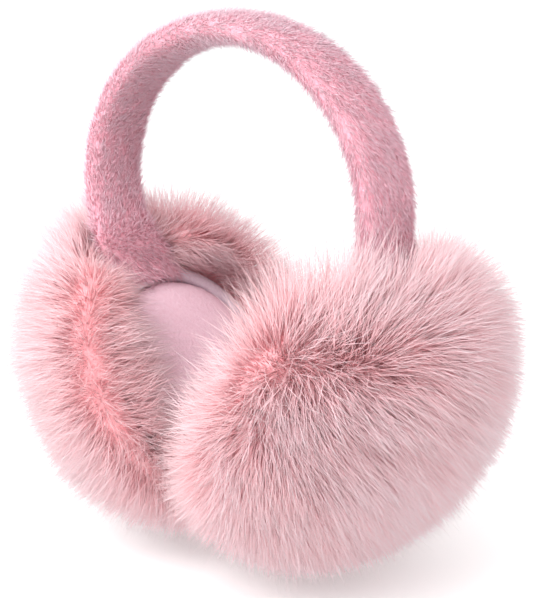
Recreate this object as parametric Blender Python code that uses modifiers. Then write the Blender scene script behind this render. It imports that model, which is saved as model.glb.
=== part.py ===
"""Fur earmuffs: a plush headband arch between two deep-fur muffs that stand in a V.

Each muff is a round head of fur with locks all over it. On the side of the ear it is
hollow, and in the hollow a crowned pad lies inside a satin rim. The legs of the band run
down a channel in the fur and over the rims to the pads' edges.

Metres, +Z up. X runs from ear to ear and -Y is the front. The origin lies on the surface
that the muffs stand on, midway between them.
"""

import math

import bmesh
import bpy
import numpy as np
from mathutils import Matrix

# Headband: its centre line is two half ellipses, one above its widest level and one below.
# The lift is the height of that level above the muffs' middle.
ARCH_HALF_WIDTH = 0.072
ARCH_RISE = 0.066
ARCH_LIFT = 0.0775
ARCH_DROP_SHARE = 0.90
ARCH_END_ANGLE = 128.0
BAND_WIDTH = 0.030
BAND_THICKNESS = 0.0125
BAND_SQUARENESS = 2.4
BAND_FORWARD = 0.0105

# Muffs: the outer form of the fur, measured to the tips of the locks
MUFF_RADIUS = 0.075
MUFF_DEPTH_OUTER = 0.051
MUFF_DEPTH_INNER = 0.034
MUFF_ROUNDNESS_OUTER = 2.2
MUFF_ROUNDNESS_INNER = 2.7
MUFF_SPREAD = 0.043
MUFF_BACK = 0.0025
MUFF_HEIGHT = 0.0735
MUFF_TILT = 28.0
MUFF_TURN = 4.5
FUR_LENGTH = 0.010
LOCK_LENGTH = 0.021
LOCK_WIDTH = 0.0125
LOCK_DROOP = 0.0022
FUR_SAG_SHARE = 0.30
HEAD_SHARE = 1.0 - FUR_LENGTH / MUFF_RADIUS

# What follows from these
ARCH_WIDEST_HEIGHT = MUFF_HEIGHT + ARCH_LIFT
ARCH_DROP = ARCH_DROP_SHARE * ARCH_LIFT

# How far locks stray: degrees of their row's angle, and shares of their flow and their size
STRAY_ANGLE = 3.0
STRAY_FLOW_SHARE = 0.25
STRAY_SIZE_SHARE = 0.12

# Fur pressed flat under each muff, and the locks that hang round it to the surface
FOOT_HALF_WIDTH = 0.028
FOOT_HALF_LENGTH = 0.042
FOOT_HALF_HEIGHT = 0.024
FOOT_MIDDLE = 0.016
FOOT_LOCKS = 8
FOOT_LOCK_LENGTH = 0.021
FOOT_LOCK_HEIGHT = 0.015
FOOT_LOCK_SLOPE_SHARE = 0.75
FOOT_LOCK_REACH_SHARE = 0.80

# Ear pad, its rim, and the hollow that they lie in
PAD_RADIUS = 0.044
PAD_EDGE_HEIGHT = 0.005
PAD_BEVEL = 0.0015
PAD_CROWN = 0.009
PAD_SQUARENESS = 2.5
PAD_DOWN = 0.008
PAD_BACK = 0.0005
RIM_WIDTH = 0.0062
RIM_HEIGHT = 0.0065
RIM_CORNER = 0.0022
SEAT_DEPTH = 0.004
HOLLOW_FLARE_SHARE = 0.20
CHANNEL_START_ANGLE = 55.0
CHANNEL_DEPTH = 0.045

# Clearance between neighbouring pieces
GAP = 0.0003
POCKET_RADIUS = PAD_RADIUS + GAP + RIM_WIDTH + GAP

BAND_STATIONS = 37
BAND_SIDES = 12
TURNED_STEPS = 28
HEAD_STEPS = 20
CROWN_STEPS = 6
LOCK_SIDES = 4
SHARP_ANGLE = 50.0
MERGE_DISTANCE = 0.00002

# How the legs change towards their ends, as shares of the band's own sizes
LEG_FORM = {
    "angle": (0.0, 90.0, 103.0, 112.0, 120.0, 128.0),
    "width_share": (1.00, 1.00, 1.06, 1.20, 1.28, 1.10),
    "thickness_share": (1.00, 1.00, 0.96, 0.80, 0.62, 0.46),
    "back_share": (0.00, 0.00, 0.03, 0.12, 0.20, 0.26),
}

# Rows of locks, from the middle of the outer face round to the lip of the hollow: the angle
# of the row, its even number of locks, their size as a share of the fur's, and whether they
# flow outwards (above 0) or towards the ear (below 0)
LOCK_ROWS = {
    "angle": (8.0, 27.0, 46.0, 65.0, 84.0, 102.0, 117.0),
    "locks": (4, 8, 12, 14, 14, 14, 12),
    "length_share": (1.00, 1.00, 1.03, 1.06, 1.03, 0.97, 0.95),
    "lean_share": (0.6, 1.0, 1.0, 1.0, 1.0, -1.0, -1.0),
}

# Rings of one lock: how far along the lock's length they lie, their height as a share of the
# tip's, and their half width and half depth as shares of the lock's width
LOCK_FORM = {
    "along_share": (-0.35, 0.30),
    "rise_share": (-0.45, 0.50),
    "width_share": (0.80, 0.95),
    "depth_share": (0.40, 0.42),
}

UP = np.array([0.0, 0.0, 1.0])

FUR_COLOUR = (0.72, 0.38, 0.42, 1.0)
BAND_COLOUR = (0.74, 0.42, 0.47, 1.0)
PAD_COLOUR = (0.90, 0.60, 0.68, 1.0)
RIM_COLOUR = (0.78, 0.66, 0.74, 1.0)


def clear_scene():
    for thing in list(bpy.data.objects):
        bpy.data.objects.remove(thing, do_unlink=True)


def make_collection(name):
    collection = bpy.data.collections.new(name)
    bpy.context.scene.collection.children.link(collection)
    return collection


def make_material(name, colour, roughness):
    material = bpy.data.materials.new(name)
    material.use_nodes = True
    shader = material.node_tree.nodes["Principled BSDF"]
    shader.inputs["Base Color"].default_value = colour
    shader.inputs["Roughness"].default_value = roughness
    shader.inputs["Metallic"].default_value = 0.0
    return material


def unit(vector):
    return vector / np.linalg.norm(vector)


def muff_directions(side):
    """Centre of a muff, and the directions outward, up and back across its face."""
    tilt, turn = math.radians(MUFF_TILT), math.radians(MUFF_TURN)
    outward = np.array([
        side * math.cos(tilt) * math.cos(turn),
        -math.cos(tilt) * math.sin(turn),
        -math.sin(tilt),
    ])
    back = np.array([side * math.sin(turn), math.cos(turn), 0.0])
    up = side * np.cross(outward, back)
    centre = np.array([side * MUFF_SPREAD, MUFF_BACK, MUFF_HEIGHT])
    return centre, outward, up, back


def pad_centre(side):
    """The pad lies a little low in its muff."""
    centre, outward, up, back = muff_directions(side)
    return centre - PAD_DOWN * up + PAD_BACK * back


def placement(origin, outward, up):
    """Matrix that turns a shape's own +Z to the muff's outward direction."""
    across = np.cross(outward, up)
    matrix = Matrix.Identity(4)
    for row in range(3):
        matrix[row] = (up[row], across[row], outward[row], origin[row])
    return matrix


def mesh_object(name, points, faces, collection):
    """One object from points and faces, with its faces turned outwards."""
    mesh = bpy.data.meshes.new(name)
    mesh.from_pydata([tuple(point) for point in points], [], faces)
    shape = bmesh.new()
    shape.from_mesh(mesh)
    bmesh.ops.recalc_face_normals(shape, faces=shape.faces[:])
    shape.to_mesh(mesh)
    shape.free()
    thing = bpy.data.objects.new(name, mesh)
    collection.objects.link(thing)
    return thing


def turned(name, profile, matrix, collection, steps=TURNED_STEPS, closed=False):
    """A profile of (radius, height) pairs, top to bottom, turned about its own Z axis."""
    mesh = bpy.data.meshes.new(name)
    count = len(profile)
    edges = [(i, i + 1) for i in range(count - 1)]
    if closed:
        edges.append((count - 1, 0))
    mesh.from_pydata([(radius, 0.0, height) for radius, height in profile], edges, [])
    thing = bpy.data.objects.new(name, mesh)
    thing.matrix_world = matrix
    collection.objects.link(thing)
    screw = thing.modifiers.new("turn", "SCREW")
    screw.axis = "Z"
    screw.steps = steps
    screw.render_steps = steps
    screw.use_merge_vertices = True
    screw.merge_threshold = MERGE_DISTANCE
    return thing


def rings_mesh(rings, tip=None):
    """Points and faces of a closed skin through rings of equal count, ended flat or in a tip."""
    sides = len(rings[0])
    points = [point for ring in rings for point in ring]
    faces = []
    for ring in range(len(rings) - 1):
        for side in range(sides):
            after = (side + 1) % sides
            near, far = ring * sides, (ring + 1) * sides
            faces.append((near + side, near + after, far + after, far + side))
    faces.append(tuple(range(sides))[::-1])
    last = (len(rings) - 1) * sides
    if tip is None:
        faces.append(tuple(range(last, last + sides)))
    else:
        points.append(tip)
        end = len(points) - 1
        faces.extend((last + side, last + (side + 1) % sides, end) for side in range(sides))
    return points, faces


def make_cutter(thing):
    thing.hide_render = True
    thing.display_type = "WIRE"
    return thing


def add_boolean(thing, other, operation, solver="EXACT"):
    modifier = thing.modifiers.new(operation.lower(), "BOOLEAN")
    modifier.operation = operation
    modifier.solver = solver
    modifier.object = other


def triangulated(shape):
    """Copy of a shape in triangles; an edge that a new diagonal would double is halved first."""
    while True:
        trial = shape.copy()
        bmesh.ops.triangulate(trial, faces=trial.faces[:])
        trial.verts.index_update()
        doubled = {
            frozenset(vertex.index for vertex in edge.verts)
            for edge in trial.edges
            if len(edge.link_faces) > 2
        }
        shape.verts.index_update()
        known = [
            edge
            for edge in shape.edges
            if frozenset(vertex.index for vertex in edge.verts) in doubled
        ]
        if not known:
            return trial
        trial.free()
        for edge in known:
            bmesh.utils.edge_split(edge, edge.verts[0], 0.5)


def close_short_edges(shape):
    """Merge the ends of every very short edge of a triangle mesh where that keeps it closed."""
    short = [edge for edge in shape.edges if edge.calc_length() < MERGE_DISTANCE]
    while short:
        edge = short.pop()
        if not edge.is_valid:
            continue
        first, second = edge.verts
        near = [{link.other_vert(vertex) for link in vertex.link_edges} for vertex in edge.verts]
        if len(near[0] & near[1]) == 2:
            bmesh.ops.pointmerge(shape, verts=[first, second], merge_co=first.co.copy())


def keep_largest_body(shape):
    unseen = set(shape.verts)
    bodies = []
    while unseen:
        front = [unseen.pop()]
        body = list(front)
        while front:
            vertex = front.pop()
            near = {edge.other_vert(vertex) for edge in vertex.link_edges} & unseen
            unseen -= near
            front.extend(near)
            body.extend(near)
        bodies.append(body)
    bodies.sort(key=len)
    crumbs = [vertex for body in bodies[:-1] for vertex in body]
    bmesh.ops.delete(shape, geom=crumbs, context="VERTS")


def finished(thing, material):
    """Apply what shapes the piece, keep its one main body in triangles, and shade it smooth."""
    depsgraph = bpy.context.evaluated_depsgraph_get()
    mesh = bpy.data.meshes.new_from_object(thing.evaluated_get(depsgraph))
    mesh.transform(thing.matrix_world)
    whole = bmesh.new()
    whole.from_mesh(mesh)
    shape = triangulated(whole)
    close_short_edges(shape)
    keep_largest_body(shape)
    shape.to_mesh(mesh)
    shape.free()
    whole.free()
    mesh.shade_smooth()
    mesh.set_sharp_from_angle(angle=math.radians(SHARP_ANGLE))
    mesh.materials.clear()
    mesh.materials.append(material)
    thing.modifiers.clear()
    thing.data = mesh
    thing.matrix_world = Matrix.Identity(4)
    return thing


def band_frame(angle):
    """Point on the arch's centre line, and the direction away from the arch's middle.

    The angle is counted from the crown, positive towards +X. The point is (half width times
    its sine, rise or drop times its cosine), and the direction is at right angles to the path.
    """
    turn = math.radians(angle)
    reach = ARCH_RISE if abs(angle) <= 90.0 else ARCH_DROP
    point = np.array([
        ARCH_HALF_WIDTH * math.sin(turn),
        -BAND_FORWARD,
        ARCH_WIDEST_HEIGHT + reach * math.cos(turn),
    ])
    away = unit(np.array([reach * math.sin(turn), 0.0, ARCH_HALF_WIDTH * math.cos(turn)]))
    return point, away


def band_angles():
    """The angles of the band's sections, which the channels share."""
    return np.linspace(-ARCH_END_ANGLE, ARCH_END_ANGLE, BAND_STATIONS)


def band_ring(angle, inner_extra=0.0, gap=0.0):
    """Section of the band, a superellipse; a cutter may reach further towards the middle."""
    point, away = band_frame(angle)
    width, thickness, shift = (
        np.interp(abs(angle), LEG_FORM["angle"], LEG_FORM[key])
        for key in ("width_share", "thickness_share", "back_share")
    )
    half_width = 0.5 * BAND_WIDTH * width + gap
    half_thickness = 0.5 * BAND_THICKNESS * thickness + gap
    point = point + np.array([0.0, BAND_WIDTH * shift, 0.0])
    power = 2.0 / BAND_SQUARENESS
    ring = []
    for index in range(BAND_SIDES):
        around = 2.0 * math.pi * index / BAND_SIDES
        cosine, sine = math.cos(around), math.sin(around)
        across = math.copysign(abs(cosine) ** power, cosine) * half_width
        depth = math.copysign(abs(sine) ** power, sine) * half_thickness
        if sine < -0.01:
            depth -= inner_extra
        ring.append(point + depth * away + np.array([0.0, across, 0.0]))
    return ring


def build_band(parts, cutters):
    """The whole arch, each leg cut to lie over the rim and end at the pad's edge."""
    points, faces = rings_mesh([band_ring(angle) for angle in band_angles()])
    band = mesh_object("headband", points, faces, parts)
    reach = 0.5 * PAD_RADIUS
    rim_face = SEAT_DEPTH - RIM_HEIGHT - GAP
    pad_edge = PAD_RADIUS + 2.0 * GAP
    profile = [
        (0.0, reach),
        (POCKET_RADIUS, reach),
        (POCKET_RADIUS, rim_face),
        (pad_edge, rim_face),
        (pad_edge, -reach),
        (0.0, -reach),
    ]
    for side in (-1, 1):
        centre, outward, up, back = muff_directions(side)
        stop = turned(f"band_stop_{side}", profile, placement(pad_centre(side), outward, up),
                      cutters)
        add_boolean(band, make_cutter(stop), "DIFFERENCE")
    return band


def muff_section(angle, share):
    """Radius and outward distance of the fur's form at an angle from its outer pole."""
    turn = math.radians(angle)
    outer = angle <= 90.0
    power = 2.0 / (MUFF_ROUNDNESS_OUTER if outer else MUFF_ROUNDNESS_INNER)
    depth = MUFF_DEPTH_OUTER if outer else MUFF_DEPTH_INNER
    cosine, sine = math.cos(turn), math.sin(turn)
    return (
        share * MUFF_RADIUS * max(sine, 0.0) ** power,
        share * depth * math.copysign(abs(cosine) ** power, cosine),
    )


def head_profile():
    """Profile of the head, which is the outer form less the length of the locks."""
    angles = np.concatenate([np.linspace(0.0, 90.0, 9), np.linspace(101.0, 180.0, 7)])
    profile = [muff_section(angle, HEAD_SHARE) for angle in angles]
    profile[0] = (0.0, profile[0][1])
    profile[-1] = (0.0, profile[-1][1])
    return profile


def lock_rings(root, normal, flow, length, lift):
    """Rings and tip of one lock, which lies along the flow and rises towards its tip.

    Its root ring is buried in the head. Each ring is an oval, wide across the flow.
    """
    across = np.cross(normal, flow)
    rings = []
    for along, rise, width, depth in zip(*LOCK_FORM.values()):
        middle = root + along * length * flow + rise * lift * normal
        ring = []
        for index in range(LOCK_SIDES):
            around = 2.0 * math.pi * index / LOCK_SIDES
            ring.append(
                middle
                + width * LOCK_WIDTH * math.cos(around) * across
                + depth * LOCK_WIDTH * math.sin(around) * normal
            )
        rings.append(ring)
    tip = root + length * flow + lift * normal - np.array([0.0, 0.0, LOCK_DROOP])
    return rings, tip


def stray(index, row):
    """A number between -1 and 1 that looks random from one lock to the next."""
    return math.sin(12.9 * index + 4.1 * row)


def row_locks(side):
    """Every lock of the rows round the muff's axis, as (row, index, rings, tip)."""
    centre, outward, up, back = muff_directions(side)
    for row, (angle, count, length, lean) in enumerate(zip(*LOCK_ROWS.values())):
        for index in range(count):
            around = 2.0 * math.pi * (index + 0.5 * (row % 2)) / count
            wave = stray(index, row)
            slant = angle + STRAY_ANGLE * wave
            radial = math.cos(around) * up + math.sin(around) * back
            sideways = side * np.cross(outward, radial)
            radius, height = muff_section(slant, HEAD_SHARE)
            next_radius, next_height = muff_section(slant + 1.0, HEAD_SHARE)
            normal = unit((height - next_height) * radial + (next_radius - radius) * outward)
            leaning = lean * outward + STRAY_FLOW_SHARE * wave * sideways - FUR_SAG_SHARE * UP
            flow = unit(leaning - leaning.dot(normal) * normal)
            root = centre + radius * radial + height * outward
            size = length * (1.0 + STRAY_SIZE_SHARE * wave)
            rings, tip = lock_rings(root, normal, flow, size * LOCK_LENGTH, size * FUR_LENGTH)
            yield row, index, rings, tip


def foot_middle(side):
    """Middle of the foot: under the lowest point of the muff's outer form."""
    centre, outward, up, back = muff_directions(side)
    sections = [muff_section(angle, 1.0) for angle in range(40, 130, 2)]
    points = [centre - radius * up + height * outward for radius, height in sections]
    lowest = min(points, key=lambda point: point[2])
    return np.array([lowest[0], lowest[1], FOOT_MIDDLE])


def foot_locks(side):
    """Locks that hang round the foot and end on the surface, as (index, rings, tip)."""
    middle = foot_middle(side)
    half_size = FOOT_LOCK_REACH_SHARE * np.array([FOOT_HALF_WIDTH, FOOT_HALF_LENGTH, 0.0])
    for index in range(FOOT_LOCKS):
        around = 2.0 * math.pi * (index + 0.5) / FOOT_LOCKS
        radial = np.array([side * math.cos(around), math.sin(around), 0.0])
        root = middle + radial * half_size
        root[2] = FOOT_LOCK_HEIGHT
        flow = unit(radial - FOOT_LOCK_SLOPE_SHARE * UP)
        normal = unit(UP - UP.dot(flow) * flow)
        length = FOOT_LOCK_LENGTH * (1.0 + STRAY_SIZE_SHARE * stray(index, len(LOCK_ROWS["angle"])))
        rings, tip = lock_rings(root, normal, flow, length, 0.0)
        yield index, rings, tip


def build_locks(word, side, cutters):
    """The locks of one muff in meshes in which no two locks touch, so that each joins cleanly."""
    sets = {}
    for row, index, rings, tip in row_locks(side):
        sets.setdefault(f"locks_{row % 2}{index % 2}_{word}", []).append((rings, tip))
    for index, rings, tip in foot_locks(side):
        sets.setdefault(f"foot_locks_{index % 2}_{word}", []).append((rings, tip))
    things = []
    for name, locks in sets.items():
        points, faces = [], []
        for rings, tip in locks:
            lock_points, lock_faces = rings_mesh(rings, tip)
            start = len(points)
            points.extend(lock_points)
            faces.extend(tuple(start + corner for corner in face) for face in lock_faces)
        things.append(make_cutter(mesh_object(name, points, faces, cutters)))
    return things


def build_foot(name, side, cutters):
    """Fur pressed flat under the lowest part of the muff: an oval bulge, cut by the floor."""
    bpy.ops.mesh.primitive_uv_sphere_add(
        segments=HEAD_STEPS,
        ring_count=HEAD_STEPS // 2,
        radius=1.0,
        location=foot_middle(side),
    )
    foot = bpy.context.object
    foot.name = name
    foot.scale = (FOOT_HALF_WIDTH, FOOT_HALF_LENGTH, FOOT_HALF_HEIGHT)
    for collection in list(foot.users_collection):
        collection.objects.unlink(foot)
    cutters.objects.link(foot)
    return make_cutter(foot)


def build_box(name, middle, size, cutters):
    """A box that cuts everything on one side of a plane."""
    bpy.ops.mesh.primitive_cube_add(size=1.0, location=middle)
    box = bpy.context.object
    box.name = name
    box.scale = size
    for collection in list(box.users_collection):
        collection.objects.unlink(box)
    cutters.objects.link(box)
    return make_cutter(box)


def build_fur(side, word, parts, cutters):
    """Head, locks and foot joined, then the hollow, the channel and the flats cut."""
    centre, outward, up, back = muff_directions(side)
    matrix = placement(centre, outward, up)
    fur = turned(f"ear_fur_{word}", head_profile(), matrix, parts, steps=HEAD_STEPS)
    add_boolean(fur, build_foot(f"foot_{word}", side, cutters), "UNION", "MANIFOLD")
    for locks in build_locks(word, side, cutters):
        add_boolean(fur, locks, "UNION", "MANIFOLD")

    face = SEAT_DEPTH - RIM_HEIGHT
    mouth = -2.0 * MUFF_DEPTH_INNER
    profile = [
        (0.0, SEAT_DEPTH + GAP),
        (POCKET_RADIUS, SEAT_DEPTH + GAP),
        (POCKET_RADIUS, face),
        (POCKET_RADIUS + HOLLOW_FLARE_SHARE * (face - mouth), mouth),
        (0.0, mouth),
    ]
    hollow = turned(f"hollow_{word}", profile, placement(pad_centre(side), outward, up), cutters)
    add_boolean(fur, make_cutter(hollow), "DIFFERENCE", "MANIFOLD")

    angles = [angle for angle in band_angles() if side * angle > CHANNEL_START_ANGLE]
    rings = [band_ring(angle, CHANNEL_DEPTH, GAP) for angle in angles]
    channel = mesh_object(f"channel_{word}", *rings_mesh(rings), cutters)
    add_boolean(fur, make_cutter(channel), "DIFFERENCE", "MANIFOLD")

    reach = 4.0 * MUFF_RADIUS
    floor = build_box(f"floor_{word}", (0.0, 0.0, -0.5 * reach), (reach, reach, reach), cutters)
    add_boolean(fur, floor, "DIFFERENCE", "MANIFOLD")
    other = -side * 0.5 * (reach - GAP)
    middle = build_box(f"middle_{word}", (other, 0.0, 0.0), (reach, reach, reach), cutters)
    add_boolean(fur, middle, "DIFFERENCE", "MANIFOLD")
    return fur


def build_pad(side, word, parts):
    """Crowned pad: its edge stands on the seat and its middle swells towards the ear."""
    centre, outward, up, back = muff_directions(side)
    profile = [
        (0.0, SEAT_DEPTH),
        (PAD_RADIUS - PAD_BEVEL, SEAT_DEPTH),
        (PAD_RADIUS, SEAT_DEPTH - PAD_BEVEL),
    ]
    edge = SEAT_DEPTH - PAD_EDGE_HEIGHT
    for step in range(CROWN_STEPS):
        turn = 0.5 * math.pi * step / CROWN_STEPS
        radius = PAD_RADIUS * math.cos(turn) ** (2.0 / PAD_SQUARENESS)
        profile.append((radius, edge - PAD_CROWN * math.sin(turn)))
    profile.append((0.0, edge - PAD_CROWN))
    return turned(f"ear_pad_{word}", profile, placement(pad_centre(side), outward, up), parts)


def build_rim(side, word, parts):
    """Satin ring round the pad, with a rounded section."""
    centre, outward, up, back = muff_directions(side)
    inner, outer = PAD_RADIUS + GAP, POCKET_RADIUS - GAP
    top, low = SEAT_DEPTH, SEAT_DEPTH - RIM_HEIGHT
    corner = RIM_CORNER
    profile = [
        (inner, top),
        (outer, top),
        (outer, low + corner),
        (outer - 0.3 * corner, low + 0.3 * corner),
        (outer - corner, low),
        (inner + corner, low),
        (inner + 0.3 * corner, low + 0.3 * corner),
        (inner, low + corner),
    ]
    matrix = placement(pad_centre(side), outward, up)
    return turned(f"pad_rim_{word}", profile, matrix, parts, closed=True)


def main():
    clear_scene()
    parts = make_collection("fur_earmuffs")
    cutters = make_collection("cutters")
    fur_material = make_material("deep_fur", FUR_COLOUR, 0.85)
    band_material = make_material("plush", BAND_COLOUR, 0.85)
    pad_material = make_material("velour", PAD_COLOUR, 0.8)
    rim_material = make_material("satin", RIM_COLOUR, 0.45)

    pieces = [(build_band(parts, cutters), band_material)]
    for side, word in ((-1, "left"), (1, "right")):
        pieces.append((build_fur(side, word, parts, cutters), fur_material))
        pieces.append((build_pad(side, word, parts), pad_material))
        pieces.append((build_rim(side, word, parts), rim_material))
    bpy.context.view_layer.update()
    for thing, material in pieces:
        finished(thing, material)


main()
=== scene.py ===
import math

import bpy
import numpy as np
from mathutils import Matrix


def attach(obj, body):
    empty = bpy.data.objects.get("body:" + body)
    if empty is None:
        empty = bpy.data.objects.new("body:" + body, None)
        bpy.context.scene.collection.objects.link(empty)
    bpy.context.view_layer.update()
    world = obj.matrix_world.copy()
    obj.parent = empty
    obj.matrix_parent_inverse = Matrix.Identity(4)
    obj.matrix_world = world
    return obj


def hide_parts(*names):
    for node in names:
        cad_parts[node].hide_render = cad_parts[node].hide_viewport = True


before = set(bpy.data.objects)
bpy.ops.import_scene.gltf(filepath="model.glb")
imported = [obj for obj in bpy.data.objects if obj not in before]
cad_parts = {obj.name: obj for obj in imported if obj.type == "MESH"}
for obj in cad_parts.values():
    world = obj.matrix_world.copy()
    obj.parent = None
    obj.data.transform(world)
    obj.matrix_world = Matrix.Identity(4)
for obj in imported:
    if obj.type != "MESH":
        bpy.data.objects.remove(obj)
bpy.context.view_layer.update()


# The stand: a white paper sweep under soft light from all round, with a large lamp above the
# front and a weaker one above the front right. The camera looks at the earmuffs from the front
# right, a little from above.
AIM = np.array([0.015, -0.0105, 0.114])
VIEW_AZIMUTH = math.radians(42.0)
VIEW_ELEVATION = math.radians(14.8)
VIEW_DISTANCE = 0.548
LENS_MM = 85.2
SENSOR_MM = 36.0
SWEEP_HALF_SIZE = 6.0
PAPER_TONE = 0.82
PAPER_GLOW = 0.3
ROOM_COLOUR = (1.0, 0.99, 0.99, 1.0)

view_back = np.array([
    math.sin(VIEW_AZIMUTH) * math.cos(VIEW_ELEVATION),
    -math.cos(VIEW_AZIMUTH) * math.cos(VIEW_ELEVATION),
    math.sin(VIEW_ELEVATION),
])
view_right = np.array([math.cos(VIEW_AZIMUTH), math.sin(VIEW_AZIMUTH), 0.0])
view_up = np.cross(view_back, view_right)


def facing(place, right, up, back):
    """Matrix of a camera or lamp at place whose own X, Y and Z are right, up and back."""
    matrix = Matrix.Identity(4)
    for row in range(3):
        matrix[row] = (right[row], up[row], back[row], place[row])
    return matrix


scene = bpy.context.scene
lens = bpy.data.cameras.new("camera")
lens.lens = LENS_MM
lens.sensor_width = SENSOR_MM
lens.clip_start, lens.clip_end = 0.05, 50.0
camera = bpy.data.objects.new("camera", lens)
camera.matrix_world = facing(AIM + VIEW_DISTANCE * view_back, view_right, view_up, view_back)
scene.collection.objects.link(camera)
scene.camera = camera
scene.view_settings.view_transform = "Standard"

# Each lamp: azimuth and elevation that it shines from, distance, size and power, in degrees,
# metres and watts
LAMPS = {
    "key": (-2.0, 41.0, 1.4, 1.0, 16.0),
    "fill": (58.0, 54.0, 1.4, 1.2, 4.2),
}
for lamp_name, (azimuth, elevation, distance, size, power) in LAMPS.items():
    turn, rise = math.radians(azimuth), math.radians(elevation)
    toward = np.array([
        math.sin(turn) * math.cos(rise),
        -math.cos(turn) * math.cos(rise),
        math.sin(rise),
    ])
    level = np.array([math.cos(turn), math.sin(turn), 0.0])
    light = bpy.data.lights.new(lamp_name, "AREA")
    light.shape = "DISK"
    light.size = size
    light.energy = power
    lamp = bpy.data.objects.new(lamp_name, light)
    lamp.matrix_world = facing(AIM + distance * toward, level, np.cross(toward, level), toward)
    scene.collection.objects.link(lamp)

world = bpy.data.worlds.new("studio")
world.use_nodes = True
sky = world.node_tree.nodes["Background"]
sky.inputs["Color"].default_value = ROOM_COLOUR
sky.inputs["Strength"].default_value = 1.0
scene.world = world

sweep_mesh = bpy.data.meshes.new("sweep")
edge = SWEEP_HALF_SIZE
sweep_mesh.from_pydata(
    [(-edge, -edge, 0.0), (edge, -edge, 0.0), (edge, edge, 0.0), (-edge, edge, 0.0)],
    [],
    [(0, 1, 2, 3)],
)
sweep = bpy.data.objects.new("sweep", sweep_mesh)
scene.collection.objects.link(sweep)
paper = bpy.data.materials.new("paper")
paper.use_nodes = True
shader = paper.node_tree.nodes["Principled BSDF"]
shader.inputs["Base Color"].default_value = (PAPER_TONE, PAPER_TONE, PAPER_TONE, 1.0)
shader.inputs["Roughness"].default_value = 0.9
shader.inputs["Specular IOR Level"].default_value = 0.1
shader.inputs["Emission Color"].default_value = (1.0, 1.0, 1.0, 1.0)
shader.inputs["Emission Strength"].default_value = PAPER_GLOW
sweep_mesh.materials.append(paper)


# Headband: a spring and padding inside a tube of short plush, which runs over the head and
# down into the muffs, where its ends are flattened. The tube is the plush's backing cloth
# with its matted underpile, and the pile is brushed along the band.
ARCH_HALF_WIDTH = 0.072
ARCH_RISE = 0.066
ARCH_DROP = 0.070
ARCH_WIDEST_HEIGHT = 0.151
ARCH_END = 127.5
BAND_Y = -0.0105
BAND_WIDTH = 0.030
BAND_THICKNESS = 0.0125
BAND_SQUARENESS = 2.4
PILE_DEPTH = 0.0017
PILE_DEPTH_SHARE_FLAT = 0.75
BACKING_DEPTH = PILE_DEPTH + 0.0002
BACKING_RIPPLE = 0.0001
ROOT_DEPTH = PILE_DEPTH + 0.0003
PILE_HAIRS = 46000
PILE_WIDTHS = (0.00024, 0.00038)
PILE_LENGTH = 0.0052
PILE_LENGTH_SHARES = (0.6, 1.15)
PILE_STAND = 0.46
PILE_PARTING = 0.15
PILE_PARTING_SCALE = 0.005
PILE_TUFT_SCALE = 0.0010
PILE_STRAY = 0.27
PILE_ROOT_SHADES = (0.0, 0.3)
PILE_TIP_SHADES = (0.6, 1.0)
PILE_TONE = 0.4
PILE_TONE_SPREAD = 0.25
NAP_TURN = -112.0
END_LENGTH = 5.0
END_GROWTH = 0.45
END_FLATTENING = 0.12
# Painted highlight: the pile is painted paler round the crown, the band's top, where the light
# falls
CROWN_ANGLE = -10.0
CROWN_SPREAD = 50.0
CROWN_PAINTED_LIGHT = 0.5
LEG_FORM = {
    "angle": (0.0, 90.0, 103.0, 112.0, 120.0, 128.0),
    "width": (1.00, 1.00, 1.06, 1.20, 1.28, 1.16),
    "thickness": (1.00, 1.00, 0.96, 0.80, 0.62, 0.50),
    "shift_back": (0.00, 0.00, 0.03, 0.12, 0.20, 0.26),
}
SEED = 7


def unit(vectors):
    """Vectors divided by their lengths."""
    return vectors / np.linalg.norm(vectors, axis=-1, keepdims=True)


def signed_power(values, power):
    """Power of the sizes of values, with the signs that the values have."""
    return np.sign(values) * np.abs(values) ** power


def band_middle(angle):
    """Centre line, direction away from the arch's middle, and half width and thickness.

    The line is two half ellipses, (half width x sin, rise or drop x cos), and the sizes
    change towards the legs' ends as the table says.
    """
    turn = np.radians(angle)
    drop = np.where(np.abs(angle) <= 90.0, ARCH_RISE, ARCH_DROP)
    width, thickness, shift = (
        np.interp(np.abs(angle), LEG_FORM["angle"], LEG_FORM[key])
        for key in ("width", "thickness", "shift_back")
    )
    middle = np.stack([
        ARCH_HALF_WIDTH * np.sin(turn),
        BAND_Y + BAND_WIDTH * shift,
        ARCH_WIDEST_HEIGHT + drop * np.cos(turn),
    ], axis=-1)
    away = np.stack([
        drop * np.sin(turn), np.zeros_like(turn), ARCH_HALF_WIDTH * np.cos(turn),
    ], axis=-1)
    return middle, unit(away), 0.5 * BAND_WIDTH * width, 0.5 * BAND_THICKNESS * thickness


def band_surface(angle, around, inset):
    """Point and outward normal of the band at an angle from the crown and round its section.

    The section is a superellipse, (half width x cos^p, half thickness x sin^p). The inset
    takes its whole off the half width, and the flat faces' share of it off the thickness.
    """
    middle, away, half_width, half_depth = band_middle(angle)
    power = 2.0 / BAND_SQUARENESS
    cosine, sine = np.cos(around), np.sin(around)
    across = signed_power(cosine, power)
    depth = signed_power(sine, power)
    sideways = np.array([0.0, 1.0, 0.0])
    normal = unit(
        (signed_power(cosine, 2.0 - power) / half_width)[..., None] * sideways
        + (signed_power(sine, 2.0 - power) / half_depth)[..., None] * away
    )
    point = (
        middle
        + ((half_width - inset) * across)[..., None] * sideways
        + ((half_depth - PILE_DEPTH_SHARE_FLAT * inset) * depth)[..., None] * away
    )
    return point, normal


def ripple(points, scale, seed):
    """Smooth waves, mostly within -1 and 1: twice the mean of eight sines whose directions,
    lengths (about 4 to 10 times the scale) and phases are random."""
    random = np.random.default_rng(seed)
    directions = unit(random.normal(size=(8, 3))) * random.uniform(0.6, 1.6, (8, 1)) / scale
    phases = random.uniform(0.0, 2.0 * np.pi, 8)
    return np.sin(points @ directions.T + phases).mean(axis=-1) * 2.0


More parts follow.
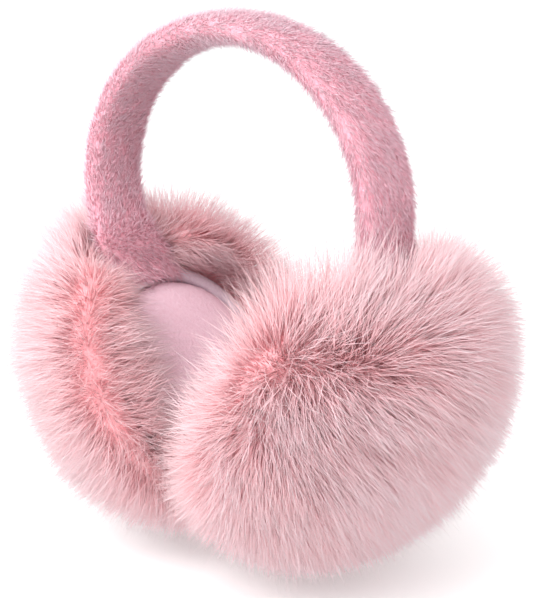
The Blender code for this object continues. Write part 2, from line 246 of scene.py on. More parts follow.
def add_piece(name, points, faces, material, replaced, uv=None):
    """One finished object from arrays of points and faces, riding on the object's one body."""
    mesh = bpy.data.meshes.new(name)
    if uv is None:
        mesh.from_pydata(points.reshape(-1, 3), [], faces)
        mesh.shade_smooth()
    else:
        mesh.vertices.add(len(points))
        mesh.vertices.foreach_set("co", points.astype(np.float32).ravel())
        mesh.loops.add(faces.size)
        mesh.loops.foreach_set("vertex_index", faces.astype(np.int32).ravel())
        mesh.polygons.add(len(faces))
        mesh.polygons.foreach_set("loop_start", np.arange(0, faces.size, 3, dtype=np.int32))
        mesh.update(calc_edges=True)
        layer = mesh.uv_layers.new(name="OFBake")
        layer.uv.foreach_set("vector", uv[faces.ravel()].astype(np.float32).ravel())
    mesh.materials.append(material)
    piece = bpy.data.objects.new(name, mesh)
    scene.collection.objects.link(piece)
    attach(piece, "root")
    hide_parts(*replaced)
    return piece


def tube_faces(rings, sides):
    """Quads between neighbouring rings of equal count, and a fan to one last point each end."""
    ring, side = np.meshgrid(np.arange(rings - 1), np.arange(sides), indexing="ij")
    here, there = ring * sides, (ring + 1) * sides
    after = (side + 1) % sides
    quads = np.stack([here + side, here + after, there + after, there + side], -1).reshape(-1, 4)
    first, last = rings * sides, rings * sides + 1
    side = np.arange(sides)
    after = (side + 1) % sides
    start = np.stack([after, side, np.full(sides, first)], -1)
    end = (rings - 1) * sides
    close = np.stack([end + side, end + after, np.full(sides, last)], -1)
    return [*quads.tolist(), *start.tolist(), *close.tolist()]


def spokes(course, seed):
    """Three directions at right angles to each hair's course, turned at random."""
    toss = unit(np.random.default_rng(seed).normal(size=course.shape))
    across = unit(np.cross(course, toss))
    other = np.cross(course, across)
    around = np.radians([0.0, 120.0, 240.0])
    return np.cos(around)[:, None] * across[:, None] + np.sin(around)[:, None] * other[:, None]


def hair_map(tone, shade, stages):
    """Map of the hairs: tone across it, and shade up it from root to tip.

    Stages are the shares of the way from root to tip. The points of one ring lie a little
    apart in tone, so that no face is empty on the map.
    """
    spread = np.where(stages == 1.0, 0.0, np.resize([-0.004, 0.0, 0.004], len(stages)))
    tones = np.clip(tone[:, None] + spread, 0.002, 0.998)
    shades = shade[:, :1] + stages * (shade[:, 1:] - shade[:, :1])
    return np.stack([tones, shades], -1).reshape(-1, 2)


def fine_hairs(line, width, tone, shade):
    """Straight hairs: long thin closed pyramids from the first to the last point of a line."""
    rings = line[:, :1] + 0.5 * width[:, None, None] * spokes(unit(line[:, -1] - line[:, 0]), SEED)
    points = np.concatenate([rings, line[:, -1:]], axis=1).reshape(-1, 3)
    corners = np.array([(0, 2, 1), (0, 1, 3), (1, 2, 3), (2, 0, 3)])
    faces = (4 * np.arange(len(line))[:, None, None] + corners).reshape(-1, 3)
    return points, faces, hair_map(tone, shade, np.array([0.0, 0.0, 0.0, 1.0]))


def hair_line(root, start, finish, length):
    """Root, middle and tip: root + length x (s x start + s^2 / 2 x (finish - start))."""
    along = np.array([0.0, 0.5, 1.0])[:, None]
    return root[:, None] + length[:, None, None] * (
        along * start[:, None] + 0.5 * along ** 2 * (finish - start)[:, None]
    )


def fur_material(name, first, second, roughness):
    """Hair that runs from its root's colour to its tip's, in two tones that are mixed."""
    material = bpy.data.materials.new(name)
    material.use_nodes = True
    nodes, links = material.node_tree.nodes, material.node_tree.links
    shader = nodes["Principled BSDF"]
    shader.inputs["Roughness"].default_value = roughness
    shader.inputs["Specular IOR Level"].default_value = 0.25
    shader.inputs["Sheen Weight"].default_value = 0.15
    shader.inputs["Sheen Roughness"].default_value = 0.5
    place = nodes.new("ShaderNodeUVMap")
    place.uv_map = "OFBake"
    parts = nodes.new("ShaderNodeSeparateXYZ")
    links.new(place.outputs["UV"], parts.inputs["Vector"])
    mix = nodes.new("ShaderNodeMix")
    mix.data_type = "RGBA"
    links.new(parts.outputs["X"], mix.inputs["Factor"])
    for colours, socket in ((first, 6), (second, 7)):
        ramp = nodes.new("ShaderNodeValToRGB")
        stops = ramp.color_ramp.elements
        while len(stops) < len(colours):
            stops.new(0.5)
        for stop, (position, colour) in zip(stops, colours):
            stop.position = position
        for stop, (position, colour) in zip(stops, colours):
            stop.color = (*colour, 1.0)
        links.new(parts.outputs["Y"], ramp.inputs["Fac"])
        links.new(ramp.outputs["Color"], mix.inputs[socket])
    links.new(mix.outputs[2], shader.inputs["Base Color"])
    return material


def fibre_material(name, dark, light, scale, roughness):
    """Matted or woven fibre: two depths of colour in small soft patches, with a fine relief."""
    material = bpy.data.materials.new(name)
    material.use_nodes = True
    nodes, links = material.node_tree.nodes, material.node_tree.links
    shader = nodes["Principled BSDF"]
    shader.inputs["Roughness"].default_value = roughness
    shader.inputs["Specular IOR Level"].default_value = 0.15
    place = nodes.new("ShaderNodeTexCoord")
    noise = nodes.new("ShaderNodeTexNoise")
    noise.inputs["Scale"].default_value = scale
    noise.inputs["Detail"].default_value = 6.0
    noise.inputs["Roughness"].default_value = 0.65
    ramp = nodes.new("ShaderNodeValToRGB")
    ramp.color_ramp.elements[0].position = 0.30
    ramp.color_ramp.elements[0].color = (*dark, 1.0)
    ramp.color_ramp.elements[1].position = 0.68
    ramp.color_ramp.elements[1].color = (*light, 1.0)
    bump = nodes.new("ShaderNodeBump")
    bump.inputs["Strength"].default_value = 0.7
    bump.inputs["Distance"].default_value = 0.001
    links.new(place.outputs["Object"], noise.inputs["Vector"])
    links.new(noise.outputs["Fac"], ramp.inputs["Fac"])
    links.new(noise.outputs["Fac"], bump.inputs["Height"])
    links.new(ramp.outputs["Color"], shader.inputs["Base Color"])
    links.new(bump.outputs["Normal"], shader.inputs["Normal"])
    return material


underpile = fibre_material("band_underpile", (0.82, 0.36, 0.44), (0.93, 0.54, 0.63), 420.0, 0.9)
band_pile = fur_material(
    "band_pile",
    ((0.0, (0.90, 0.38, 0.47)), (0.5, (0.92, 0.52, 0.62)), (1.0, (0.93, 0.68, 0.77))),
    ((0.0, (0.90, 0.49, 0.57)), (0.5, (0.93, 0.71, 0.79)), (1.0, (0.94, 0.85, 0.90))),
    0.6,
)

stations, sides = 150, 40
angle, around = np.meshgrid(
    np.linspace(-ARCH_END, ARCH_END, stations),
    np.linspace(0.0, 2.0 * np.pi, sides, endpoint=False),
    indexing="ij",
)
backing, normal = band_surface(angle, around, BACKING_DEPTH)
backing = backing + BACKING_RIPPLE * ripple(backing, 0.0022, 1)[..., None] * normal
ends = backing[[0, -1]].mean(axis=1)
backing = np.concatenate([backing.reshape(-1, 3), ends])
faces = tube_faces(stations, sides)
add_piece("headband_backing", backing, faces, underpile, ["headband"])

# The roots are spread by angle along the band, and evenly round its section. The nap runs from
# the left leg over the crown to the right one, and turns at NAP_TURN to run down into the left
# muff. Round the crown the pile is painted paler, a painted highlight where the light falls on
# the band's top, and at the ends it is longer and flatter.
random = np.random.default_rng(SEED + 2)
angle = random.uniform(-ARCH_END, ARCH_END, PILE_HAIRS)
turn = np.linspace(0.0, 2.0 * np.pi, 721)
section = band_surface(np.zeros(721), turn, PILE_DEPTH)[0]
run = np.linalg.norm(np.diff(section, axis=0), axis=1)
run = np.concatenate([[0.0], np.cumsum(run)])
around = np.interp(random.uniform(0.0, run[-1], PILE_HAIRS), run, turn)
root, normal = band_surface(angle, around, ROOT_DEPTH)
step = band_surface(angle + 0.5, around, ROOT_DEPTH)[0]
nap = unit(step - root) * np.clip((angle - NAP_TURN) / 10.0, -1.0, 1.0)[:, None]
parting = ripple(root, PILE_PARTING_SCALE, 2)
tuft = ripple(root, PILE_TUFT_SCALE, 4)
from_end = ARCH_END - np.abs(angle)
end = np.interp(from_end, [1.0, 1.0 + END_LENGTH], [1.0, 0.0])
stray = random.normal(size=(PILE_HAIRS, 3))
start = unit(
    (PILE_STAND - END_FLATTENING * end)[:, None] * normal
    + nap
    + PILE_PARTING * (parting + tuft)[:, None] * np.array([0.0, 1.0, 0.0])
    + PILE_STRAY * stray
)
length = PILE_LENGTH * random.uniform(*PILE_LENGTH_SHARES, PILE_HAIRS)
length = length * (1.0 + 0.08 * parting + END_GROWTH * end)
# Painted shade in the pile's partings: the tips are painted darker where the tuft wave is low
shade = np.stack([
    random.uniform(*PILE_ROOT_SHADES, PILE_HAIRS),
    random.uniform(*PILE_TIP_SHADES, PILE_HAIRS) - 0.35 * np.clip(-tuft - 0.1, 0.0, 1.0),
], -1)
# Painted highlight: the pile round the crown is painted paler, where the light falls on the band's
# top
crown = np.exp(-((angle - CROWN_ANGLE) / CROWN_SPREAD) ** 2)
# The tone is a little deeper where the parting wave is low: painted shade in the partings
tone = PILE_TONE + CROWN_PAINTED_LIGHT * crown + 0.05 * parting
tone = np.clip(tone + random.normal(0.0, PILE_TONE_SPREAD, PILE_HAIRS), 0.0, 1.0)
width = random.uniform(*PILE_WIDTHS, PILE_HAIRS)
points, faces, uv = fine_hairs(hair_line(root, start, start, length), width, tone, shade)
add_piece("headband_pile", points, faces, band_pile, ["headband"], uv)


# Fur muffs: long soft hair on a round pelt, which is drawn over the edge of the ear cup and
# down round the pad, and is open where the band's leg comes in. The hair leans away from the
# ear on the outer side, and stands up round the pad on the lip.
MUFF_RADIUS = 0.075
MUFF_DEPTH_OUTER = 0.051
MUFF_DEPTH_INNER = 0.034
MUFF_ROUNDNESS_OUTER = 2.2
MUFF_ROUNDNESS_INNER = 2.7
MUFF_SPREAD = 0.043
MUFF_BACK = 0.0025
MUFF_HEIGHT = 0.0735
MUFF_TILT = math.radians(28.0)
MUFF_TURN = math.radians(4.5)
PAD_RADIUS = 0.044
PAD_DOWN = 0.008
PAD_BACK = 0.0005
POCKET_RADIUS = 0.0508
POCKET_FOOT = 0.0045
PELT_SHARE = 0.84
PELT_LIP_SHARE = 0.58
LIP_ANGLE = 128.0
LIP_THICKNESS = 0.004
LEG_BACK = -0.0041
LEG_UP = 0.037
LEG_SLOPE = -0.26
LEG_HALF_WIDTH = 0.0165
LEG_AROUND = math.radians(-9.0)
LEG_HALF_ANGLE = math.radians(22.0)
LEG_SOFT_ANGLE = math.radians(8.0)
LONG_HAIRS = 18400
LONG_WIDTHS = (0.00018, 0.00032)
FINE_HAIRS = 46000
FINE_WIDTHS = (0.0002, 0.00034)
HAIR_ROOT_DEPTH = 0.002
HAIR_SAG = 0.22
HAIR_REACH_SIDEWAYS = 0.1215
HAIR_REACH_FORWARD = 0.0870
LOCK_SCALE = 0.0045
LOCK_PULL = 0.16
LOCK_TONE = 0.25
STRAY_AT_ROOT = 0.10
STRAY_AT_TIP = 0.20
STRAY_TONE = 0.18
LIP_TONE = -0.38
ROOT_SHADES = (0.2, 0.5)
TIP_SHADES = (0.65, 1.0)
PARTING_SCALE = 0.011
PARTING_WANDER = 0.04
BESIDE_LEG_SPREAD = 0.48
BESIDE_LEG_LIFT = 0.6
CREST_UP = 0.9
CREST_BACK = 0.5
GUARD_SHARE = 0.08
GUARD_LENGTHS = (1.1, 1.32)
LENGTH_SHARES = (0.75, 1.10)
TOP_GROWTH = 0.27
TOP_ANGLE = -math.pi / 6.0
BEHIND_LEG_LOSS = 0.13
BEHIND_LEG_ANGLE = 1.2
BEHIND_LEG_SPREAD = 0.7
REAR_GROWTH = 0.12
OVER_PAD_GROWTH = 0.35
CREST_GROWTH = 0.75
RISE_UP = 0.22
RISE_DOWN = 0.42
RISE_STEEPEST = 0.8
RISE_LOST_ON_LIP = 0.7

# How the hair stands, leans and grows, from the outer pole, station 0, to the hollow's foot
HAIR_FORM = {
    "station": (0.00, 0.15, 0.30, 0.42, 0.52, 0.65, 0.80, 0.90, 1.00),
    "stand": (1.00, 1.00, 1.00, 1.00, 1.00, 1.00, 0.80, 0.35, -0.10),
    "lean_outward": (0.60, 0.95, 0.85, 0.55, 0.25, -0.25, -0.70, -0.95, -1.00),
    "length": (0.0210, 0.0235, 0.0245, 0.0235, 0.0225, 0.0220, 0.0225, 0.0240, 0.0250),
}

# Tables of (place, share): by station, by the angle in front of the leg's edge, or by height
ON_LIP = ((0.45, 0.0), (0.62, 1.0))
AT_PARTING = ((0.30, 0.0), (0.40, 1.0), (0.60, 1.0), (0.70, 0.0))
OVER_PAD = ((0.60, 0.0), (0.80, 1.10), (1.00, 0.90))
BESIDE_LEG = ((0.25, 0.0), (0.36, 1.0), (0.50, 1.0), (0.56, 0.0))
LAID_OUTWARD = ((0.05, 0.0), (0.20, 0.30), (0.40, 0.30), (0.50, 0.0))
CREST_STATION = ((0.42, 0.0), (0.52, 1.0), (0.75, 1.0), (0.88, 0.0))
CREST_ANGLE = ((-0.3, 0.0), (0.0, 1.0), (0.8, 0.0))
PRESSED_ANGLE = ((-0.2, 0.0), (0.0, 1.0), (0.7, 0.0))
NEAR_FLOOR = ((0.0, 0.75), (0.025, 1.0))

# What differs between the left muff, -1, and the right one, 1: how far the leg presses the
# hair in front of it, how full a crest stands there, and the places that are brushed fuller
# or flatter, each with its station, angle in degrees, and share of the length
LEG_PRESS = {-1: 0.55, 1: 0.0}
LEG_CREST = {-1: 0.0, 1: 1.0}
BRUSHED = {
    -1: ((0.38, -127.0, 0.26), (0.40, -76.0, -0.28), (0.42, -30.0, -0.09)),
    1: ((0.32, 38.0, -0.22), (0.20, 110.0, 0.06), (0.49, 22.0, 0.02)),
}
BRUSHED_STATIONS = 0.13
BRUSHED_ANGLE = 0.5


def muff_directions(side):
    """Centre of a muff, and its directions outward, up and back across its face."""
    outward = np.array([
        side * math.cos(MUFF_TILT) * math.cos(MUFF_TURN),
        -math.cos(MUFF_TILT) * math.sin(MUFF_TURN),
        -math.sin(MUFF_TILT),
    ])
    back = np.array([side * math.sin(MUFF_TURN), math.cos(MUFF_TURN), 0.0])
    up = side * np.cross(outward, back)
    return np.array([side * MUFF_SPREAD, MUFF_BACK, MUFF_HEIGHT]), outward, up, back


def nearest_turn(angle):
    """The same angle between -pi and pi."""
    return (angle + np.pi) % (2.0 * np.pi) - np.pi


def from_leg(around):
    """Angle from the band's leg, negative in front of it and positive behind it."""
    return nearest_turn(around - LEG_AROUND)


def share_at(place, table):
    """Share at a place, straight between the rows (place, share) of a table."""
    places, shares = zip(*table)
    return np.interp(place, places, shares)


def pelt(side, station, around, notch=1.0):
    """Point of the pelt: station 0 at the outer pole, 0.5 at the widest, 0.8 on the lip and 1
    at the hollow's foot, and the angle round the muff's axis from its top.

    Both halves are superellipses, (radius x sin^p, depth x cos^p). The hollow is a circle
    about the pad's middle, whose distance from the axis is sqrt(R^2 - (d sin)^2) - d cos.
    The pelt is nowhere narrower than the hollow and its lip, tapered to nothing at the pole.
    At the leg the lip is brought down to the hollow's foot, by the share notch.
    """
    polar = np.radians(np.interp(station, [0.0, 0.5, 0.8], [0.0, 90.0, LIP_ANGLE]))
    outer = station <= 0.5
    power = np.where(outer, 2.0 / MUFF_ROUNDNESS_OUTER, 2.0 / MUFF_ROUNDNESS_INNER)
    depth = np.where(outer, MUFF_DEPTH_OUTER, MUFF_DEPTH_INNER * PELT_LIP_SHARE / PELT_SHARE)
    radius = PELT_SHARE * MUFF_RADIUS * np.abs(np.sin(polar)) ** power
    height = PELT_SHARE * depth * signed_power(np.cos(polar), power)
    pocket = np.sqrt(POCKET_RADIUS ** 2 - (PAD_DOWN * np.sin(around)) ** 2)
    pocket = pocket - PAD_DOWN * np.cos(around)
    cover = (pocket + LIP_THICKNESS) * np.interp(station, [0.0, 0.25, 0.5], [0.0, 0.68, 1.0])
    radius = np.maximum(radius, cover)
    leg = np.clip(1.0 + (LEG_HALF_ANGLE - np.abs(from_leg(around))) / LEG_SOFT_ANGLE, 0.0, 1.0)
    height = height + notch * leg * np.maximum(POCKET_FOOT - height, 0.0)
    wall = np.clip((station - 0.8) / 0.2, 0.0, 1.0)
    radius = (1.0 - wall) * radius + wall * (pocket + 0.0006)
    height = (1.0 - wall) * height + wall * POCKET_FOOT
    centre, outward, up, back = muff_directions(side)
    radial = np.cos(around)[..., None] * up + np.sin(around)[..., None] * back
    return centre + radius[..., None] * radial + height[..., None] * outward


def pelt_normal(side, station, around):
    """Direction out of the pelt, less its notch: the cross product along and round it."""
    along = pelt(side, station + 0.004, around, 0.0) - pelt(side, station - 0.004, around, 0.0)
    ahead = pelt(side, station, around + 0.02, 0.0) - pelt(side, station, around - 0.02, 0.0)
    return unit(-side * np.cross(along, ahead) + 1e-12)


def keep_in_place(line, side):
    """Bends hair off the surface that the muffs stand on, off the other muff, and inside what
    is left free round the earmuffs. Each hair stops at a slightly different distance."""
    random = np.random.default_rng(SEED + 5)
    floor = random.uniform(0.0006, 0.0030, (len(line), 1))
    line[..., 2] = np.maximum(line[..., 2], floor)
    middle = random.uniform(0.0004, 0.0030, (len(line), 1))
    line[..., 0] = side * np.maximum(side * line[..., 0], middle)
    short = random.uniform(0.0, 0.005, (len(line), 1))
    line[..., 1] = np.clip(line[..., 1], short - HAIR_REACH_FORWARD, HAIR_REACH_FORWARD - short)
    line[..., 0] = side * np.minimum(side * line[..., 0], HAIR_REACH_SIDEWAYS - short)
    return line


def hair_roots(side, count, random):
    """Stations and angles spread evenly over the pelt, less those that the leg covers.

    A strip's area is its length along the pelt x its distance from the muff's axis. The leg
    lies where the distance from its slanting middle line is less than its half width.
    """
    station = np.linspace(0.01, 0.99, 200)
    profile = pelt(side, station, np.full(200, 0.5 * np.pi))
    centre, outward, up, back = muff_directions(side)
    strip = np.linalg.norm(np.diff(profile, axis=0), axis=1)
    strip = strip * np.abs((profile[1:] - centre) @ back)
    share_below = np.concatenate([[0.0], np.cumsum(strip)]) / strip.sum()
    station = np.interp(random.uniform(0.0, 1.0, 2 * count), share_below, station)
    around = random.uniform(0.0, 2.0 * np.pi, 2 * count)
    place = pelt(side, station, around) - centre
    aside = place @ back - LEG_BACK - LEG_SLOPE * (place @ up - LEG_UP)
    covered = (np.abs(aside) < LEG_HALF_WIDTH) & (place @ up > 0.0) & (station > 0.47)
    return station[~covered][:count], around[~covered][:count]


def over_pad(station, around):
    """How far hair leans over the pad: cos(angle from the muff's front) x share."""
    return np.clip(np.cos(around + 0.5 * np.pi), 0.0, 1.0) * share_at(station, OVER_PAD)


def crested(side, station, around):
    """How far hair belongs to the crest that stands in front of the leg."""
    gap = -from_leg(around) - LEG_HALF_ANGLE
    crest = LEG_CREST[side] * share_at(gap, CREST_ANGLE)
    return crest * share_at(station, CREST_STATION)


def hair_course(side, station, around, root, locks, stray):
    """Directions of hair at its root and at its tip.

    At the root it is stand x the pelt's normal + lean x outward - front x away from the
    muff's axis + locks + strays. The line where the lean changes sign wanders. The crest
    stands up and back, and beside the leg the hair stands up along it instead of leaning.
    At the tip the hair is laid further outward, and sags.
    """
    centre, outward, up, back = muff_directions(side)
    normal = pelt_normal(side, station, around)
    radial = np.cos(around)[:, None] * up + np.sin(around)[:, None] * back
    stand = np.interp(station, HAIR_FORM["station"], HAIR_FORM["stand"])
    wander = PARTING_WANDER * ripple(root, PARTING_SCALE, 9) * share_at(station, AT_PARTING)
    lean = np.interp(station + wander, HAIR_FORM["station"], HAIR_FORM["lean_outward"])
    along_leg = np.exp(-(from_leg(around) / BESIDE_LEG_SPREAD) ** 2)
    along_leg = (along_leg * share_at(station, BESIDE_LEG))[:, None]
    start = unit(
        stand[:, None] * normal
        + crested(side, station, around)[:, None] * (CREST_UP * up + CREST_BACK * back)
        + lean[:, None] * (1.0 - along_leg) * outward
        + BESIDE_LEG_LIFT * along_leg * np.array([0.0, 0.0, 1.0])
        - over_pad(station, around)[:, None] * radial
        + LOCK_PULL * locks
        + STRAY_AT_ROOT * stray
    )
    laid = share_at(station, LAID_OUTWARD)[:, None]
    sag = np.array([0.0, 0.0, -HAIR_SAG])
    finish = unit(
        start
        + (1.0 - along_leg) * (laid * outward + sag)
        + LOCK_PULL * locks
        + STRAY_AT_TIP * stray
    )
    return start, finish


def hair_length(side, station, around, root):
    """Full length of hair: length by station x fullness x (1 + rise) x share near the floor.

    Fullness is 1 + what the top, the rear of the lip, the front, the crest and the brushing
    add - what the leg presses. The top adds less behind the leg. Rise is what hair that
    looks up gains, or down loses.
    """
    normal = pelt_normal(side, station, around)
    length = np.interp(station, HAIR_FORM["station"], HAIR_FORM["length"])
    lip = share_at(station, ON_LIP)
    gap = -from_leg(around) - LEG_HALF_ANGLE
    pressed = LEG_PRESS[side] * share_at(gap, PRESSED_ANGLE) * lip
    rear = REAR_GROWTH * np.clip(np.sin(around), 0.0, 1.0) * lip
    top = TOP_GROWTH * np.clip(np.cos(around - TOP_ANGLE), 0.0, 1.0)
    behind_leg = np.exp(-((around - BEHIND_LEG_ANGLE) / BEHIND_LEG_SPREAD) ** 2)
    top = (top - BEHIND_LEG_LOSS * behind_leg) * (1.0 - lip)
    brushed = sum(
        share * np.exp(
            -((station - at) / BRUSHED_STATIONS) ** 2
            - (nearest_turn(around - math.radians(turn)) / BRUSHED_ANGLE) ** 2
        )
        for at, turn, share in BRUSHED[side]
    )
    fullness = 1.0 - pressed + rear + top + brushed
    fullness = fullness + OVER_PAD_GROWTH * over_pad(station, around)
    fullness = fullness + CREST_GROWTH * crested(side, station, around)
    steepness = np.minimum(normal[:, 2], RISE_STEEPEST)
    rise = np.where(normal[:, 2] > 0.0, RISE_UP, RISE_DOWN) * steepness
    rise = rise * (1.0 - RISE_LOST_ON_LIP * lip)
    return length * fullness * (1.0 + rise) * share_at(root[:, 2], NEAR_FLOOR)


def fur(side, station, around, random, reach, silver):
    """Lines, tones and shades of the hair that grows at stations and angles on the pelt.

    Reach is its share of the full length, and silver how pale it is, less on the lip. A few
    guard hairs are longer than the rest and pale to the tip.
    """
    count = len(station)
    root = pelt(side, station, around) - HAIR_ROOT_DEPTH * pelt_normal(side, station, around)
    locks = np.stack([ripple(root, LOCK_SCALE, 31 + axis) for axis in range(3)], -1)
    stray = random.normal(size=(count, 3))
    start, finish = hair_course(side, station, around, root, locks, stray)
    length = hair_length(side, station, around, root) * reach
    length = length * random.uniform(*LENGTH_SHARES, count)
    guard = random.uniform(size=count) < GUARD_SHARE
    length = length * np.where(guard, random.uniform(*GUARD_LENGTHS, count), 1.0)
    tone = silver + LIP_TONE * share_at(station, ON_LIP)
    tone = tone + LOCK_TONE * locks[:, 0] + STRAY_TONE * stray[:, 0]
    shade = np.stack([
        random.uniform(*ROOT_SHADES, count),
        np.where(guard, 1.0, random.uniform(*TIP_SHADES, count)),
    ], -1)
    line = keep_in_place(hair_line(root, start, finish, length), side)
    return line, np.clip(tone, 0.0, 1.0), shade


def long_hairs(line, width, tone, shade):
    """Bent hairs: closed and three-sided, with a ring at the root and one half way."""
    taper = np.array([1.0, 0.8])
    spoke = spokes(unit(line[:, 2] - line[:, 0]), SEED + 1)
    rings = line[:, :2, None] + 0.5 * (width[:, None] * taper)[:, :, None, None] * spoke[:, None]
    points = np.concatenate([rings.reshape(-1, 6, 3), line[:, 2:]], axis=1).reshape(-1, 3)
    corners = np.array([
        (0, 2, 1),
        (0, 1, 4), (0, 4, 3), (1, 2, 5), (1, 5, 4), (2, 0, 3), (2, 3, 5),
        (3, 4, 6), (4, 5, 6), (5, 3, 6),
    ])
    faces = (7 * np.arange(len(line))[:, None, None] + corners).reshape(-1, 3)
    return points, faces, hair_map(tone, shade, np.array([0.0, 0.0, 0.0, 0.5, 0.5, 0.5, 1.0]))


undercoat = fibre_material("fur_undercoat", (0.97, 0.40, 0.44), (0.99, 0.60, 0.63), 650.0, 0.95)
long_hair = fur_material(
    "long_hair",
    ((0.0, (0.98, 0.36, 0.39)), (0.45, (0.985, 0.52, 0.55)), (1.0, (0.99, 0.72, 0.75))),
    ((0.0, (0.98, 0.40, 0.44)), (0.45, (0.985, 0.64, 0.68)), (1.0, (0.99, 0.90, 0.94))),
    0.5,
)

for side, word in ((-1, "left"), (1, "right")):
    station = np.concatenate([
        np.linspace(0.02, 0.5, 24), np.linspace(0.525, 0.8, 12), np.linspace(0.83, 1.0, 7),
    ])
    around_steps = 128
    station_grid, around_grid = np.meshgrid(
        station, np.linspace(0.0, 2.0 * np.pi, around_steps, endpoint=False), indexing="ij"
    )
    points = pelt(side, station_grid, around_grid)
    swell = ripple(points, 0.0035, 11 + side) * np.interp(station_grid, [0.7, 0.8], [1.0, 0.0])
    points = points + 0.0010 * swell[..., None] * pelt_normal(side, station_grid, around_grid)
    points[..., 2] = np.maximum(points[..., 2], 0.0008)
    points[..., 0] = side * np.maximum(side * points[..., 0], 0.0006)
    centre, outward, up, back = muff_directions(side)
    poles = np.stack([
        centre + PELT_SHARE * MUFF_DEPTH_OUTER * outward,
        centre - PAD_DOWN * up + PAD_BACK * back + POCKET_FOOT * outward,
    ])
    points = np.concatenate([points.reshape(-1, 3), poles])
    faces = [face[::-side] for face in tube_faces(len(station), around_steps)]
    add_piece(
        f"fur_undercoat_{word}", points, faces, undercoat, [f"ear_fur_{word}"],
    )
    random = np.random.default_rng(SEED + 20 + side)
    station, around = hair_roots(side, LONG_HAIRS, random)
    line, tone, shade = fur(side, station, around, random, 1.04, 0.90)
    width = random.uniform(*LONG_WIDTHS, len(line))
    points, faces, uv = long_hairs(line, width, tone, shade)
    add_piece(
        f"fur_long_{word}", points, faces, long_hair, [f"ear_fur_{word}"], uv,
    )
    station, around = hair_roots(side, FINE_HAIRS, random)
    line, tone, shade = fur(side, station, around, random, 0.86, 0.55)
    width = random.uniform(*FINE_WIDTHS, len(line))
    points, faces, uv = fine_hairs(line, width, tone, shade)
    add_piece(
        f"fur_fine_{word}", points, faces, long_hair, [f"ear_fur_{word}"], uv,
    )


# Pad rims: a soft satin piping, sewn in a ring round each pad and closed on itself. It clears
# the pad's side, and stands a little higher than the pad's edge.
RIM_WIDTH = 0.0062
RIM_HEIGHT = 0.0065
RIM_SQUARENESS = 2.8
SEAT_DEPTH = 0.004
GAP = 0.0003

# The section is a superellipse, (half width x cos^p, half height x sin^p), carried in a circle
# about the pad's middle
satin = fibre_material("satin", (0.88, 0.75, 0.86), (0.96, 0.87, 0.94), 900.0, 0.4)
for side, word in ((-1, "left"), (1, "right")):
    centre, outward, up, back = muff_directions(side)
    middle = centre - PAD_DOWN * up + PAD_BACK * back
    around_steps, section_steps = 128, 16
    around, section = np.meshgrid(
        np.linspace(0.0, 2.0 * np.pi, around_steps, endpoint=False),
        np.linspace(0.0, 2.0 * np.pi, section_steps, endpoint=False),
        indexing="ij",
    )
    power = 2.0 / RIM_SQUARENESS
    wide = 1.0 + signed_power(np.cos(section), power)
    high = 1.0 + signed_power(np.sin(section), power)
    radius = PAD_RADIUS + GAP + 0.5 * RIM_WIDTH * wide
    height = SEAT_DEPTH - 0.5 * RIM_HEIGHT * high
    radial = np.cos(around)[..., None] * up + np.sin(around)[..., None] * back
    points = middle + radius[..., None] * radial + height[..., None] * outward
    ring, corner = np.meshgrid(np.arange(around_steps), np.arange(section_steps), indexing="ij")
    next_ring, next_corner = (ring + 1) % around_steps, (corner + 1) % section_steps
    quads = np.stack([
        ring * section_steps + corner,
        next_ring * section_steps + corner,
        next_ring * section_steps + next_corner,
        ring * section_steps + next_corner,
    ], -1).reshape(-1, 4)
    add_piece(
        f"satin_rim_{word}", points, [face[::-side] for face in quads.tolist()],
        satin, [f"pad_rim_{word}"],
    )


# Ear pads: foam under brushed velour, fullest in the middle and drawn in at the seam. The
# cover is blown up by a cloth simulation, held all round its seam and behind.
PAD_EDGE_HEIGHT = 0.005
PAD_CROWN = 0.0078
PAD_CROWN_POWER = 2.5
PAD_ROUND_EDGE = 0.0015
PAD_SEAM_WIDTH = 0.004
PAD_SWELL = 0.0016
PAD_CELL = 0.0030
PRESSURE = 4.0
MOMENTS = 20


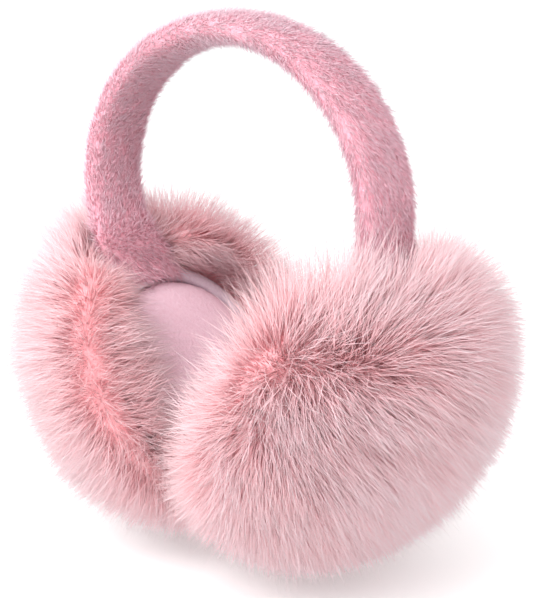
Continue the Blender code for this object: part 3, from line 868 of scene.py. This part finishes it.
def blown_up(piece, middle, outward):
    """Remeshes a pad evenly and lets pressure swell its front, by no more than its cap."""
    remesh = piece.modifiers.new("remesh", "REMESH")
    remesh.mode, remesh.voxel_size = "VOXEL", PAD_CELL
    graph = bpy.context.evaluated_depsgraph_get()
    even = bpy.data.meshes.new_from_object(piece.evaluated_get(graph))
    piece.modifiers.clear()
    piece.data = even
    rest = np.empty(3 * len(even.vertices))
    even.vertices.foreach_get("co", rest)
    rest = rest.reshape(-1, 3)
    height = (rest - middle) @ outward
    radius = np.linalg.norm(rest - middle - height[:, None] * outward, axis=1)
    held = (radius > PAD_RADIUS - PAD_SEAM_WIDTH) | (height > SEAT_DEPTH - PAD_EDGE_HEIGHT)
    seam = piece.vertex_groups.new(name="seam")
    seam.add(np.where(held)[0].tolist(), 1.0, "REPLACE")
    cloth = piece.modifiers.new("cloth", "CLOTH")
    cloth.settings.vertex_group_mass = "seam"
    cloth.settings.use_pressure = True
    cloth.settings.uniform_pressure_force = PRESSURE
    cloth.settings.effector_weights.gravity = 0.0
    for moment in range(1, MOMENTS + 1):
        scene.frame_set(moment)
    graph = bpy.context.evaluated_depsgraph_get()
    swollen = piece.evaluated_get(graph).to_mesh()
    moved = np.empty(3 * len(even.vertices))
    swollen.vertices.foreach_get("co", moved)
    piece.evaluated_get(graph).to_mesh_clear()
    piece.modifiers.clear()
    scene.frame_set(1)
    shift = moved.reshape(-1, 3) - rest
    far = np.linalg.norm(shift, axis=1, keepdims=True)
    rest = rest + shift * np.minimum(1.0, PAD_SWELL / np.maximum(far, 1e-9))
    even.vertices.foreach_set("co", rest.astype(np.float32).ravel())
    even.update()
    even.shade_smooth()
    smooth = piece.modifiers.new("smooth", "SUBSURF")
    smooth.levels = smooth.render_levels = 1


# The front is the edge's height + crown x (1 - share^n)^(1 / n), where the share of the radius
# runs from the middle to the edge, and the side runs straight back to the seat
velour = fibre_material("velour", (0.85, 0.555, 0.645), (0.91, 0.645, 0.735), 700.0, 0.85)
for side, word in ((-1, "left"), (1, "right")):
    centre, outward, up, back = muff_directions(side)
    middle = centre - PAD_DOWN * up + PAD_BACK * back
    rings, around_steps = 30, 128
    share = np.linspace(0.02, 1.0, rings)
    edge = SEAT_DEPTH - PAD_EDGE_HEIGHT
    radius = np.concatenate([PAD_RADIUS * share, [PAD_RADIUS, PAD_RADIUS - PAD_ROUND_EDGE]])
    height = np.concatenate([
        edge - PAD_CROWN * (1.0 - share ** PAD_CROWN_POWER) ** (1.0 / PAD_CROWN_POWER),
        [SEAT_DEPTH - PAD_ROUND_EDGE, SEAT_DEPTH],
    ])
    around = np.linspace(0.0, 2.0 * np.pi, around_steps, endpoint=False)
    radial = np.cos(around)[:, None] * up + np.sin(around)[:, None] * back
    points = middle + radius[:, None, None] * radial + height[:, None, None] * outward
    poles = np.stack([middle + (edge - PAD_CROWN) * outward, middle + SEAT_DEPTH * outward])
    piece = add_piece(
        f"velour_pad_{word}",
        np.concatenate([points.reshape(-1, 3), poles]),
        [face[::side] for face in tube_faces(len(radius), around_steps)],
        velour, [f"ear_pad_{word}"],
    )
    blown_up(piece, middle, outward)
